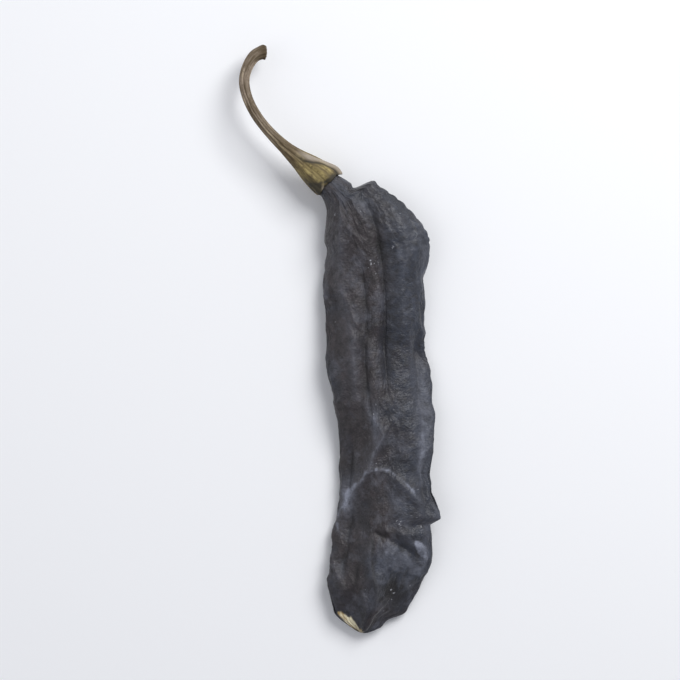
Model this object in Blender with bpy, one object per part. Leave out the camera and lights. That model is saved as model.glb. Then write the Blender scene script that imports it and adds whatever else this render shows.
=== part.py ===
"""A dried pasilla pepper that lies on a table, at its real size.

It is two solids: the flattened, wrinkled pod, and the stem, whose flared end is the calyx that clasps the
pod's neck. Both follow one spine, which runs from the stem's cut end to the pod's tip. The frame has +Z up,
the stem towards +Y and the table at Z = 0. Sizes are written in millimetres and built in metres.

A place on the skin is a distance beyond the calyx's rim and a number of turns around the spine: 0 is the right
edge seen from above with the stem at the top, 0.25 the top, 0.5 the left edge and 0.75 the underside.
"""

import bmesh
import bpy
import numpy as np

MM = 0.001

# The spine from the stem's cut end to the pod's tip, as X, Y, Z in millimetres
SPINE = np.array([
    (-21.6, 93.0, 5.6), (-24.0, 94.3, 6.4), (-27.2, 93.4, 7.4), (-30.0, 89.6, 8.6), (-31.2, 84.5, 9.6),
    (-30.2, 79.2, 10.2), (-27.2, 73.2, 10.4), (-22.8, 67.6, 10.1), (-17.0, 62.0, 9.4), (-10.4, 56.6, 8.4),
    (-4.2, 51.3, 7.5), (1.2, 46.0, 6.8), (6.2, 38.5, 6.1), (9.6, 28.5, 5.6), (10.8, 16.5, 5.3),
    (11.0, -2.4, 5.1), (12.6, -19.6, 5.0), (13.9, -36.8, 4.9), (13.9, -54.0, 4.7), (12.7, -69.0, 4.4),
    (10.4, -82.0, 4.0), (6.8, -97.0, 3.6),
])
RIM_POINT = 10  # the spine's point at the middle of the calyx's rim
ORIGIN = (0.1, -0.1)  # the middle of the finished pepper's outline on the spine's X and Y

# Stem and calyx: distance before the calyx's rim, and radius there
STEM_RADII = [
    (57.5, 2.1), (55.5, 1.75), (50.0, 1.4), (43.0, 1.3), (33.0, 1.22), (24.0, 1.35), (17.0, 1.85),
    (12.0, 2.75), (7.5, 3.9), (3.5, 4.6), (0.8, 4.85),
]
STEM_CUT_DEPTH = 0.5
STEM_ANGULARITY = 0.03
CALYX_LENGTH = 17.0
CALYX_CORNERS = 5
CALYX_CORNER_HEIGHT = 0.025
CALYX_TEETH = 0.45
CALYX_FLATNESS = 0.88
CALYX_LIP = (0.2, 4.7)  # distance and radius of the rim's edge
CALYX_FOLD = [(-15.0, 0.140), (-9.0, 0.120), (-5.4, 0.050), (0.2, 0.010)]  # a fold along it: distance, turns
CALYX_FOLD_WIDTH = 1.1
CALYX_FOLD_HEIGHT = 0.5
CALYX_FADE = 5.0
NECK_RADIUS = 4.2
NECK_DOME = 2.6
NECK_GAP = 0.35

# Pod: distance beyond the calyx's rim, the skin's reach to the right and to the left of the spine, how far it
# rises over the spine and drops under it, and its twist in degrees
POD_REACH = [
    (0.0, 4.2, 4.2, 3.7, 3.7, 0), (2.5, 4.5, 4.6, 4.1, 3.8, 0), (5.5, 5.4, 6.0, 4.9, 4.0, 2),
    (7.6, 6.8, 7.1, 5.5, 4.2, 3), (8.4, 11.0, 7.7, 5.9, 4.2, 4), (10.4, 12.6, 8.9, 6.2, 4.3, 6),
    (13.4, 14.4, 10.7, 6.5, 4.4, 8), (16.8, 16.5, 12.4, 6.9, 4.5, 9), (20.4, 18.3, 13.9, 7.2, 4.6, 9),
    (24.2, 19.8, 15.2, 7.4, 4.6, 8), (27.6, 19.9, 16.1, 7.4, 4.6, 6), (31.0, 18.5, 16.7, 7.2, 4.5, 4),
    (35.9, 16.0, 17.1, 6.9, 4.5, 2), (40.0, 16.3, 17.2, 6.7, 4.5, 0), (47.0, 17.6, 17.2, 6.5, 4.4, -3),
    (58.7, 17.6, 16.2, 6.3, 4.3, -7), (68.2, 18.5, 15.3, 6.5, 4.3, -7), (76.5, 18.0, 14.6, 6.7, 4.3, -4),
    (85.0, 18.2, 14.2, 6.7, 4.2, 0), (92.5, 17.7, 13.8, 6.5, 4.2, 4), (100.5, 16.6, 14.0, 6.2, 4.2, 7),
    (107.0, 17.2, 14.4, 6.0, 4.1, 8), (115.0, 17.2, 15.6, 5.8, 4.0, 7), (121.3, 17.6, 16.2, 5.8, 3.9, 4),
    (127.6, 17.2, 16.2, 5.6, 3.8, 0), (135.2, 15.2, 15.6, 5.0, 3.6, -4), (140.5, 13.2, 15.0, 4.4, 3.4, -6),
    (143.6, 12.4, 14.0, 4.0, 3.2, -7), (146.2, 8.8, 12.8, 3.6, 3.1, -7), (149.4, 7.2, 10.8, 3.2, 2.9, -6),
    (153.0, 5.2, 4.6, 2.8, 2.7, -5),
]
SHOULDER = 14.0  # distance beyond the rim by which the round neck has turned into the flattened pod
TIP_ROUNDING = 4.5
EDGE_SQUASH = 0.22  # how much narrower than half round the section's top is towards its edges
EDGE_CROWDING = 0.22  # how far the faces are drawn towards the two edges, in radians

# Creases of the skin: each one's places from end to end as distance and turns, its width, and its height, which
# is below 0 for a furrow
CREASES = [
    ([(4, 0.300), (21, 0.372), (38, 0.385), (60, 0.360), (78, 0.385)], 2.4, 1.5),
    ([(5, 0.060), (8.2, 0.111), (11, 0.134), (16, 0.157), (25, 0.190), (38, 0.187), (76, 0.210)], 2.0, -2.4),
    ([(14, 0.075), (26, 0.100), (40, 0.125), (58, 0.120)], 2.6, 1.3),
    ([(28, 0.300), (46, 0.292), (70, 0.318), (88, 0.300)], 2.2, -1.9),
    ([(66, 0.285), (80, 0.316), (87, 0.239), (93, 0.295), (98.6, 0.317), (106, 0.396), (116, 0.443)], 2.0, 1.7),
    ([(52, 0.062), (74, 0.082), (98, 0.070), (118, 0.088)], 2.4, -2.0),
    ([(97, 0.329), (99, 0.232), (102, 0.165), (107, 0.109), (116, 0.089)], 1.8, 1.4),
    ([(84, 0.400), (100, 0.420), (122, 0.402), (140, 0.420)], 2.4, -1.9),
    ([(116, 0.329), (119, 0.271), (121, 0.187), (125, 0.098), (129.5, 0.000)], 1.9, -2.1),
    ([(116.5, 0.250), (118.5, 0.158), (121.2, 0.106), (127.6, 0.022)], 1.6, 1.0),
    ([(117, 0.271), (125, 0.295), (132, 0.278), (138, 0.225), (147, 0.232)], 2.2, 1.5),
    ([(124, 0.360), (134, 0.345), (147, 0.370)], 2.0, -1.3),
    ([(10, 0.640), (40, 0.660), (74, 0.630), (104, 0.660)], 2.8, -2.0),
    ([(34, 0.830), (64, 0.860), (96, 0.835), (128, 0.860)], 2.8, -2.0),
    ([(90, 0.750), (116, 0.735), (142, 0.765)], 2.4, -1.6),
]
CREASE_ROUNDING = 0.45
CREASE_FADE = 9.0

# Dents: distance, turns, reach along the pod, reach round it, and depth
DENTS = [
    (137.0, 0.130, 6.0, 5.0, 2.2), (58.0, 0.180, 16.0, 5.5, 1.5), (46.0, 0.430, 13.0, 4.5, 1.3),
    (92.0, 0.190, 12.0, 5.0, 1.3), (74.0, 0.365, 14.0, 4.5, 1.4), (112.0, 0.350, 10.0, 4.5, 1.1),
    (24.0, 0.060, 8.0, 4.0, 1.0), (30.0, 0.560, 15.0, 6.0, 1.4), (88.0, 0.940, 16.0, 5.0, 1.3),
]

# Panels of skin that sank between ridges as the flesh dried: width and length of one, depth and seed
GIRTH = 76.0
PANELS = [(9.5, 21.0, 1.9, 5), (4.6, 9.0, 0.75, 8)]
PANEL_JITTER = 0.42
PANEL_RIDGE = 0.2  # how soon a panel sinks away from its ridge, as a share of a panel's width
SWELL = (15.0, 0.9, 21)  # broad bumps and hollows: pitch, height and seed
EDGE_WAVES = [(13.0, 0.7, 3), (5.5, 0.5, 4)]  # pitch along an edge, how far the edge strays, seed
LEFT_EDGE_SEED = 50
FLAP = (105.5, 113.4, 115.4, 3.4)  # a pointed flap of the right edge: start, point, end, how far it stands out
PLEATS = (9, 0.55, 13.0)  # gathers where the skin enters the calyx: how many, height, how far they run

# Low spots that the pod rests on: X, Y and radius, and how far the skin there is pressed down on the table
REST_SPOTS = [(1.2, 25.1, 8.5), (20.7, 3.1, 8.5), (11.2, -57.9, 7.5)]
REST_PRESS = 2.4

POD_SEGMENTS, POD_RINGS, POD_RING_CROWDING = 64, 80, 0.35
STEM_SEGMENTS, STEM_RINGS, STEM_RING_CROWDING = 30, 60, 0.2


def smooth_through(keys, values, at):
    """A smooth curve through values at increasing keys, read at the given places."""
    keys, values = np.asarray(keys, float), np.asarray(values, float)
    slopes = np.gradient(values, keys, axis=0)
    at = np.clip(at, keys[0], keys[-1])
    i = np.clip(np.searchsorted(keys, at) - 1, 0, len(keys) - 2)
    step = keys[i + 1] - keys[i]
    t = (at - keys[i]) / step
    if values.ndim > 1:
        t, step = t[:, None], step[:, None]
    return (
        (2 * t**3 - 3 * t**2 + 1) * values[i]
        + (t**3 - 2 * t**2 + t) * step * slopes[i]
        + (3 * t**2 - 2 * t**3) * values[i + 1]
        + (t**3 - t**2) * step * slopes[i + 1]
    )


def spine_frames(distance):
    """The spine's points and its side and up directions, at distances beyond the calyx's rim."""
    chords = np.linalg.norm(np.diff(SPINE, axis=0), axis=1)
    keys = np.concatenate([[0], np.cumsum(chords)])
    keys -= keys[RIM_POINT]
    points = smooth_through(keys, SPINE, distance)
    ahead = smooth_through(keys, SPINE, distance + 0.5) - smooth_through(keys, SPINE, distance - 0.5)
    ahead /= np.linalg.norm(ahead, axis=1, keepdims=True)
    side = np.cross([0.0, 0.0, 1.0], ahead)
    side /= np.linalg.norm(side, axis=1, keepdims=True)
    return points - [*ORIGIN, 0.0], side, np.cross(ahead, side)


def round_the_pod(around, turn):
    """How far places around the pod are from a turn, the short way round, in millimetres of skin."""
    return ((around - turn + 0.5) % 1.0 - 0.5) * GIRTH


def skin_noise(around, distance, pitch, seed):
    """Seeded noise from -1 to 1 over the skin, with bumps about one pitch apart that join up round the pod."""
    length = POD_REACH[-1][0]
    columns, rows = max(round(GIRTH / pitch), 3), int(length / pitch) + 4
    heights = np.random.default_rng(seed).uniform(-1, 1, (rows, columns))
    x, y = around % 1.0 * columns, np.clip(distance / pitch + 1, 0, rows - 2)
    i, j = x.astype(int) % columns, y.astype(int)
    fx, fy = x - np.floor(x), y - j
    fx, fy = fx**3 * (fx * (6 * fx - 15) + 10), fy**3 * (fy * (6 * fy - 15) + 10)
    low = heights[j, i] * (1 - fx) + heights[j, (i + 1) % columns] * fx
    high = heights[j + 1, i] * (1 - fx) + heights[j + 1, (i + 1) % columns] * fx
    return low * (1 - fy) + high * fy


def panel_sag(around, distance, wide, long, seed):
    """How far the skin has sunk between ridges of one size: 0 on the ridges, up to 1 within a deep panel.

    The ridges are the borders between seeded cells, which are drawn out along the pod.
    """
    around = around + 0.32 * wide / GIRTH * skin_noise(around, distance, 1.2 * wide, seed + 1)
    distance = distance + 0.25 * long * skin_noise(around, distance, 1.2 * wide, seed + 2)
    columns, rows = round(GIRTH / wide), int(POD_REACH[-1][0] / long) + 6
    draw = np.random.default_rng(seed)
    jitter = draw.uniform(-PANEL_JITTER, PANEL_JITTER, (rows, columns, 2))
    depth = draw.uniform(0.1, 1.0, (rows, columns))

    place = np.stack([around % 1.0 * columns, np.clip(distance / long + 2.5, 2, rows - 3)], axis=-1)
    i, j = np.floor(place).astype(int).T
    centres, depths = [], []
    for row in range(-2, 3):
        for column in range(-2, 3):
            line, cell = j + row, (i + column) % columns
            across = i + column + 0.5 + 0.5 * (line % 2) + jitter[line, cell, 0]
            centres.append(np.stack([across, line + 0.5 + jitter[line, cell, 1]], axis=-1))
            depths.append(depth[line, cell])
    centres, depths = np.array(centres), np.array(depths)
    nearest = np.argmin(np.linalg.norm(centres - place, axis=-1), axis=0)
    every = np.arange(len(place))
    own = centres[nearest, every]
    apart = centres - own
    span = np.maximum(np.linalg.norm(apart, axis=-1), 1e-9)
    border = np.sum(((centres + own) / 2 - place) * apart, axis=-1) / span
    border[nearest, every] = np.inf
    ridge = 0.3 * PANEL_RIDGE
    away = np.hypot(border.min(axis=0), ridge) - ridge
    return depths[nearest, every] * (1 - np.exp(-away / PANEL_RIDGE))


def crease_height(around, distance):
    """How far the creases raise or lower the skin."""
    height = np.zeros_like(distance)
    for places, width, size in CREASES:
        keys, turns = np.array(places).T
        slope = smooth_through(keys, turns, distance + 0.5) - smooth_through(keys, turns, distance - 0.5)
        away = round_the_pod(around, smooth_through(keys, turns, distance)) / np.hypot(1, slope * GIRTH)
        away = np.hypot(away, CREASE_ROUNDING) - CREASE_ROUNDING
        to_end = np.minimum(distance - keys[0], keys[-1] - distance)
        height += size * np.clip(to_end / CREASE_FADE, 0, 1) ** 0.7 * np.exp(-away / width)
    return height


def skin_height(around, distance):
    """How far the skin stands out from the plain pod: swell, creases, dents, sunken panels and pleats."""
    pitch, size, seed = SWELL
    height = size * skin_noise(around, distance, pitch, seed) + crease_height(around, distance)
    for middle, turn, along, wide, depth in DENTS:
        away = np.hypot((distance - middle) / along, round_the_pod(around, turn) / wide)
        height -= depth * np.exp(-(away**2))
    for wide, long, depth, seed in PANELS:
        strength = np.clip(0.65 + 0.75 * skin_noise(around, distance, 17.0, seed + 3), 0.12, 1.1)
        height -= depth * strength * panel_sag(around, distance, wide, long, seed)
    count, size, reach = PLEATS
    pleat = np.abs(np.sin(np.pi * count * around + 0.5 * np.sin(distance / 4.0)))
    return height + size * (pleat - 0.6) * np.exp(-((distance / reach) ** 2))


def edge_stray(distance, seed_shift):
    """How far an edge strays out from its plain outline."""
    stray = np.zeros_like(distance)
    for pitch, size, seed in EDGE_WAVES:
        stray += size * skin_noise(np.zeros_like(distance), distance, pitch, seed + seed_shift)
    return stray * np.clip(distance / SHOULDER, 0, 1)


def flap_reach(distance):
    """How far the pointed flap carries the right edge out."""
    start, point, end, size = FLAP
    return size * np.clip(np.minimum((distance - start) / (point - start), (end - distance) / (end - point)), 0, 1)


def pod_points(around, share):
    """Points of the pod's skin in millimetres, from turns around it and a share of its length."""
    keys, *reach = np.array(POD_REACH).T
    start, end = NECK_GAP - NECK_DOME, keys[-1]
    distance = start + share * (end - start)
    right, left, over, under, twist = (smooth_through(keys, values, distance) for values in reach)
    right = right + edge_stray(distance, 0) + flap_reach(distance)
    left = left + edge_stray(distance, LEFT_EDGE_SEED)
    from_neck = np.clip((distance - start) / NECK_DOME, 0, 1)
    from_tip = np.clip((end - distance) / TIP_ROUNDING, 0, 1)
    rounding = np.sqrt(1 - (1 - from_neck) ** 2) * np.sqrt(1 - (1 - from_tip) ** 2)

    angle = 2 * np.pi * around + EDGE_CROWDING * np.sin(4 * np.pi * around)
    cosine, sine = np.cos(angle), np.sin(angle)
    wide = np.where(cosine > 0, right, left)
    half = np.where(sine > 0, over, under)
    squash = np.where(sine > 0, 1 + EDGE_SQUASH * np.clip(distance / SHOULDER, 0, 1), 1.0)
    x = cosine * wide * rounding
    z = np.sign(sine) * np.abs(sine) ** squash * half * rounding

    calm = np.clip((distance - 1.0) / 7.0, 0, 1) * np.clip((end - distance) / 5.0, 0, 1) ** 0.5
    height = skin_height(around, np.clip(distance, 0, end)) * calm
    steep = np.hypot(cosine / wide, sine / half)
    x = x + height * cosine / wide / steep
    z = z + height * sine / half / steep

    turn = np.radians(twist)
    x, z = x * np.cos(turn) - z * np.sin(turn), x * np.sin(turn) + z * np.cos(turn)
    point, side, up = spine_frames(distance)
    skin = point + side * x[:, None] + up * z[:, None]
    for x_rest, y_rest, radius in REST_SPOTS:
        away = np.hypot(skin[:, 0] - x_rest, skin[:, 1] - y_rest) / radius
        skin[:, 2] -= REST_PRESS * np.exp(-(away**4)) * (sine < 0)
    skin[:, 2] = np.maximum(skin[:, 2], 0.0)
    return skin


def fold_height(around, distance, radius):
    """How far the calyx's fold stands out of it."""
    keys, turns = np.array(CALYX_FOLD).T
    away = ((around - smooth_through(keys, turns, distance) + 0.5) % 1.0 - 0.5) * 2 * np.pi * radius
    fade = np.clip((distance - keys[0]) / CALYX_FADE, 0, 1)
    return CALYX_FOLD_HEIGHT * fade * np.exp(-((away / CALYX_FOLD_WIDTH) ** 2))


def stem_points(around, share):
    """Points of the stem and calyx in millimetres, from turns around it and a share of its outline."""
    back, radii = np.array(STEM_RADII).T
    cut = [(-back[0] + STEM_CUT_DEPTH, 0.0), (-back[0], 0.55 * radii[0]), (-back[0] + 0.15, 0.93 * radii[0])]
    inner = NECK_RADIUS + NECK_GAP
    dome = [(-NECK_DOME * np.cos(a), inner * np.sin(a)) for a in np.linspace(1.25, 0.0, 6)]
    outline = np.array([*cut, *zip(-back[1:], radii[1:]), CALYX_LIP, *dome])
    keys = np.concatenate([[0], np.cumsum(np.linalg.norm(np.diff(outline, axis=0), axis=1))])
    distance, radius = smooth_through(keys, outline, share * keys[-1]).T
    radius = np.maximum(radius, 0.0)

    outside = share * keys[-1] < keys[len(cut) + len(back) - 1]
    into_calyx = np.clip(1 + distance / CALYX_LENGTH, 0, 1)
    corners = np.cos(2 * np.pi * CALYX_CORNERS * around + 0.6) * outside
    radius = radius * (1 + (STEM_ANGULARITY + CALYX_CORNER_HEIGHT * into_calyx) * corners)
    radius = radius + fold_height(around, distance, radius) * outside
    distance = distance + CALYX_TEETH * np.clip(1 + distance / 3.0, 0, 1) * corners
    flat = 1 - (1 - CALYX_FLATNESS) * into_calyx

    point, side, up = spine_frames(distance)
    turn = 2 * np.pi * around
    x, z = radius * np.cos(turn), radius * np.sin(turn) * flat
    return point + side * x[:, None] + up * z[:, None]


def formed_from_sphere(name, segments, rings, points_of, crowding, material, collection):
    """A closed piece: a UV sphere's points moved to where points_of puts their turns and share."""
    mesh = bpy.data.meshes.new(name)
    form = bmesh.new()
    bmesh.ops.create_uvsphere(form, u_segments=segments, v_segments=rings, radius=1.0)
    form.verts.ensure_lookup_table()
    unit = np.array([vertex.co for vertex in form.verts])
    around = np.arctan2(unit[:, 1], unit[:, 0]) / (2 * np.pi) % 1.0
    polar = np.arccos(np.clip(-unit[:, 2], -1, 1))
    share = (1 - crowding) * polar / np.pi + crowding * (1 - np.cos(polar)) / 2
    for vertex, place in zip(form.verts, points_of(around, share) * MM):
        vertex.co = place
    form.to_mesh(mesh)
    form.free()
    mesh.materials.append(material)
    mesh.shade_smooth()
    piece = bpy.data.objects.new(name, mesh)
    collection.objects.link(piece)
    return piece


def dull_material(name, colour, roughness):
    """A plain material with the part's colour and roughness."""
    material = bpy.data.materials.new(name)
    material.use_nodes = True
    shader = material.node_tree.nodes["Principled BSDF"]
    shader.inputs["Base Color"].default_value = (*colour, 1.0)
    shader.inputs["Roughness"].default_value = roughness
    shader.inputs["Metallic"].default_value = 0.0
    return material


def main():
    """Clears the scene and builds the pepper."""
    for old in list(bpy.data.objects):
        bpy.data.objects.remove(old)
    pepper = bpy.data.collections.new("dried_pasilla_pepper")
    bpy.context.scene.collection.children.link(pepper)
    skin = dull_material("dried_pod_skin", (0.022, 0.019, 0.021), 0.5)
    straw = dull_material("dried_stem", (0.21, 0.15, 0.075), 0.75)
    formed_from_sphere("pod", POD_SEGMENTS, POD_RINGS, pod_points, POD_RING_CROWDING, skin, pepper)
    formed_from_sphere(
        "stem_and_calyx", STEM_SEGMENTS, STEM_RINGS, stem_points, STEM_RING_CROWDING, straw, pepper
    )


main()
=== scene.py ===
"""The looks of a dried pasilla pepper that lies on a pale table, seen from straight above.

The pod and the stem keep the spine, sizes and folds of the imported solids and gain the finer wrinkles, ribs
and fibres. Sizes are in millimetres and become metres when a mesh is made. A place on the skin is a distance
beyond the calyx's rim and a number of turns around the spine: 0 is the right edge seen from above with the
stem at the top, 0.25 the top, 0.5 the left edge and 0.75 the underside.
"""

import logging
from collections.abc import Iterable
from dataclasses import dataclass, field
from enum import Enum
from functools import partial
from typing import Any, Callable

import bpy
import numpy as np
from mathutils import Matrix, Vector


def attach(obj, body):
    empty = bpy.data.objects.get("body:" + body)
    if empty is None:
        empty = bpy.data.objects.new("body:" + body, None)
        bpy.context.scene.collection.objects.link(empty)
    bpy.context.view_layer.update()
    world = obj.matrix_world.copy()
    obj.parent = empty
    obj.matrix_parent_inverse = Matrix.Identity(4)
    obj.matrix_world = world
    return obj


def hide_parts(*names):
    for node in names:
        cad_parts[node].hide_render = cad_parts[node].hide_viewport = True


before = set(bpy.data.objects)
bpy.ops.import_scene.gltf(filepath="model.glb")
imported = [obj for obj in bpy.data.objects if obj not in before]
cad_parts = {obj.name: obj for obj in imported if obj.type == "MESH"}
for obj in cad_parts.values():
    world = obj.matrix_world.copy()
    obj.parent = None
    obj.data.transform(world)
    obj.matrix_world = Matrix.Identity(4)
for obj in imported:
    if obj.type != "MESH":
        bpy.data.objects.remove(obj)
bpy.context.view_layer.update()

MM = 0.001
LOG = logging.getLogger("pasilla")
Array = np.ndarray
Form = Callable[[Array, Array], Array]
Triples = tuple[tuple[float, float, float], ...]


class Slot(Enum):
    """The record's material slots."""

    SKIN = "pod_skin"
    STEM = "stem"


def linear(colour: str) -> tuple[float, float, float, float]:
    """Turns an sRGB hex colour into linear red, green, blue and alpha.

    Args:
        colour: Six hex digits after a hash.

    Returns:
        The linear colour with alpha 1.
    """
    parts = [int(colour[i : i + 2], 16) / 255 for i in (1, 3, 5)]
    red, green, blue = (p / 12.92 if p <= 0.04045 else ((p + 0.055) / 1.055) ** 2.4 for p in parts)
    return red, green, blue, 1.0


def scale_of(size: float) -> float:
    """The texture scale whose cells are a size in millimetres across."""
    return 1 / (size * MM)


def short_way(around: Array, turn: Array | float) -> Array:
    """Turns from one place to others the short way round, from -0.5 to 0.5."""
    return (around - turn + 0.5) % 1.0 - 0.5


def lengths_to(line: Array) -> Array:
    """Lengths along a line of straight steps to each of its points."""
    return np.concatenate([[0], np.cumsum(np.linalg.norm(np.diff(line, axis=0), axis=1))])


def smooth_through(keys: Array, values: Array, at: Array) -> Array:
    """Reads a smooth curve through values.

    Args:
        keys: The curve's keys, increasing.
        values: Its value, or its row of values, at each key.
        at: The places to read.

    Returns:
        The values there.
    """
    slopes = np.gradient(values, keys, axis=0)
    at = np.clip(at, keys[0], keys[-1])
    i = np.clip(np.searchsorted(keys, at) - 1, 0, len(keys) - 2)
    step = keys[i + 1] - keys[i]
    t = (at - keys[i]) / step
    if values.ndim > 1:
        t, step = t[:, None], step[:, None]
    return (
        (2 * t**3 - 3 * t**2 + 1) * values[i]
        + (t**3 - 2 * t**2 + t) * step * slopes[i]
        + (3 * t**2 - 2 * t**3) * values[i + 1]
        + (t**3 - t**2) * step * slopes[i + 1]
    )


@dataclass(frozen=True)
class Spine:
    """The line that the stem and the pod follow, from the stem's cut end to the pod's tip."""

    points: Triples = (
        (-21.6, 93.0, 5.6), (-24.0, 94.3, 6.4), (-27.2, 93.4, 7.4), (-30.0, 89.6, 8.6), (-31.2, 84.5, 9.6),
        (-30.2, 79.2, 10.2), (-27.2, 73.2, 10.4), (-22.8, 67.6, 10.1), (-17.0, 62.0, 9.4), (-10.4, 56.6, 8.4),
        (-4.2, 51.3, 7.5), (1.2, 46.0, 6.8), (6.2, 38.5, 6.1), (9.6, 28.5, 5.6), (10.8, 16.5, 5.3),
        (11.0, -2.4, 5.1), (12.6, -19.6, 5.0), (13.9, -36.8, 4.9), (13.9, -54.0, 4.7), (12.7, -69.0, 4.4),
        (10.4, -82.0, 4.0), (6.8, -97.0, 3.6),
    )
    rim_point: int = 10
    origin: tuple[float, float] = (0.1, -0.1)
    half_step: float = 0.5

    def frames(self, distance: Array) -> tuple[Array, Array, Array]:
        """Finds the spine's points and directions.

        Args:
            distance: Distances beyond the calyx's rim, below 0 along the stem.

        Returns:
            The points, the directions to the right side, and those out of the spine's top.
        """
        line = np.array(self.points)
        keys = lengths_to(line)
        keys -= keys[self.rim_point]
        points = smooth_through(keys, line, distance)
        beyond = smooth_through(keys, line, distance + self.half_step)
        ahead = beyond - smooth_through(keys, line, distance - self.half_step)
        ahead /= np.linalg.norm(ahead, axis=1, keepdims=True)
        side = np.cross([0.0, 0.0, 1.0], ahead)
        side /= np.linalg.norm(side, axis=1, keepdims=True)
        return points - [*self.origin, 0.0], side, np.cross(ahead, side)


@dataclass(frozen=True)
class Skin:
    """The skin laid out flat: its girth and length, and the seeded patterns that it carries."""

    girth: float = 76.0
    length: float = 153.0

    def away(self, around: Array, turn: Array | float) -> Array:
        """Distances round the pod from a turn, the short way, in millimetres."""
        return short_way(around, turn) * self.girth

    def place(self, around: Array, distance: Array) -> Array:
        """Places on a tube of the skin's girth, which patterns read because it has no seam."""
        radius, turn = self.girth / (2 * np.pi), 2 * np.pi * around
        return np.stack([radius * np.cos(turn), radius * np.sin(turn), distance], axis=-1)

    def noise(self, around: Array, distance: Array, pitch: float, seed: int) -> Array:
        """Makes seeded bumps that join up round the pod.

        Args:
            around: Turns around the spine.
            distance: Distances beyond the rim.
            pitch: About how far apart the bumps are.
            seed: The draw's seed.

        Returns:
            Heights from -1 to 1.
        """
        columns, rows = max(round(self.girth / pitch), 3), int(self.length / pitch) + 4
        heights = np.random.default_rng(seed).uniform(-1, 1, (rows, columns))
        x, y = around % 1.0 * columns, np.clip(distance / pitch + 1, 0, rows - 2)
        i, j = x.astype(int) % columns, y.astype(int)
        fx, fy = x - np.floor(x), y - j
        fx, fy = fx**3 * (fx * (6 * fx - 15) + 10), fy**3 * (fy * (6 * fy - 15) + 10)
        low = heights[j, i] * (1 - fx) + heights[j, (i + 1) % columns] * fx
        high = heights[j + 1, i] * (1 - fx) + heights[j + 1, (i + 1) % columns] * fx
        return low * (1 - fy) + high * fy


@dataclass(frozen=True)
class Waves:
    """Seeded waves of the skin: how far apart and how high they are, and the draw's seed."""

    pitch: float
    size: float
    seed: int

    def rise(self, skin: Skin, around: Array, distance: Array) -> Array:
        """How far the waves raise each place of the skin."""
        return self.size * skin.noise(around, distance, self.pitch, self.seed)


@dataclass(frozen=True)
class Panels:
    """Panels of skin that sank between ridges as the flesh dried, the cells of a seeded pattern."""

    wide: float
    long: float
    depth: float
    seed: int
    jitter: float = 0.42
    ridge: float = 0.2
    bend_pitch: float = 1.2
    bend: float = 0.32
    slide: float = 0.25
    area: float = 17.0
    usual: float = 0.65
    uneven: float = 0.75
    limits: tuple[float, float] = (0.12, 1.1)
    shallowest: float = 0.1

    def sag(self, skin: Skin, around: Array, distance: Array) -> Array:
        """Finds how far the skin has sunk.

        Args:
            skin: The skin that carries the panels.
            around: Turns around the spine.
            distance: Distances beyond the rim.

        Returns:
            0 on a ridge, up to 1 within a deep panel.
        """
        bent = skin.noise(around, distance, self.bend_pitch * self.wide, self.seed + 1)
        slid = skin.noise(around, distance, self.bend_pitch * self.wide, self.seed + 2)
        around = around + self.bend * self.wide / skin.girth * bent
        distance = distance + self.slide * self.long * slid
        columns, rows = round(skin.girth / self.wide), int(skin.length / self.long) + 6
        draw = np.random.default_rng(self.seed)
        jitter = draw.uniform(-self.jitter, self.jitter, (rows, columns, 2))
        depth = draw.uniform(self.shallowest, 1.0, (rows, columns))

        # The nearest of the 25 cell centres about each place, and how far its border is
        place = np.stack([around % 1.0 * columns, np.clip(distance / self.long + 2.5, 2, rows - 3)], axis=-1)
        i, j = np.floor(place).astype(int).T
        centres, depths = [], []
        for row in range(-2, 3):
            for column in range(-2, 3):
                line, cell = j + row, (i + column) % columns
                across = i + column + 0.5 + 0.5 * (line % 2) + jitter[line, cell, 0]
                centres.append(np.stack([across, line + 0.5 + jitter[line, cell, 1]], axis=-1))
                depths.append(depth[line, cell])
        near, deep = np.array(centres), np.array(depths)
        nearest = np.argmin(np.linalg.norm(near - place, axis=-1), axis=0)
        every = np.arange(len(place))
        own = near[nearest, every]
        apart = near - own
        span = np.maximum(np.linalg.norm(apart, axis=-1), 1e-9)
        border = np.sum(((near + own) / 2 - place) * apart, axis=-1) / span
        border[nearest, every] = np.inf
        soft = 0.3 * self.ridge
        away = np.hypot(border.min(axis=0), soft) - soft
        return deep[nearest, every] * (1 - np.exp(-away / self.ridge))

    def rise(self, skin: Skin, around: Array, distance: Array) -> Array:
        """How far the panels raise the skin, below 0, more in some areas than in others."""
        uneven = self.uneven * skin.noise(around, distance, self.area, self.seed + 3)
        strength = np.clip(self.usual + uneven, *self.limits)
        return -self.depth * strength * self.sag(skin, around, distance)


@dataclass(frozen=True)
class Crease:
    """A fold of the skin: its distances and turns from end to end, its width, and its height or depth."""

    places: tuple[tuple[float, float], ...]
    width: float
    height: float
    # How pale the crest is painted: bloom together with a painted highlight
    bloom_and_highlight: float = 0.0
    rounding: float = 0.35
    fade: float = 9.0
    taper: float = 0.7

    def line(self, skin: Skin, around: Array, distance: Array) -> Array:
        """Finds how near the crease's line each place lies.

        Args:
            skin: The skin that is creased.
            around: Turns around the spine.
            distance: Distances beyond the rim.

        Returns:
            1 on the line, falling to 0 away from it and towards its ends.
        """
        keys, turns = np.array(self.places).T

        # The slope is in turns for each millimetre
        slope = smooth_through(keys, turns, distance + 0.5) - smooth_through(keys, turns, distance - 0.5)
        away = skin.away(around, smooth_through(keys, turns, distance)) / np.hypot(1, slope * skin.girth)
        away = np.hypot(away, self.rounding) - self.rounding
        to_end = np.minimum(distance - keys[0], keys[-1] - distance)
        return np.clip(to_end / self.fade, 0, 1) ** self.taper * np.exp(-away / self.width)

    def rise(self, skin: Skin, around: Array, distance: Array) -> Array:
        """How far the crease raises the skin in millimetres, below 0 in a furrow."""
        return self.height * self.line(skin, around, distance)


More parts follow.
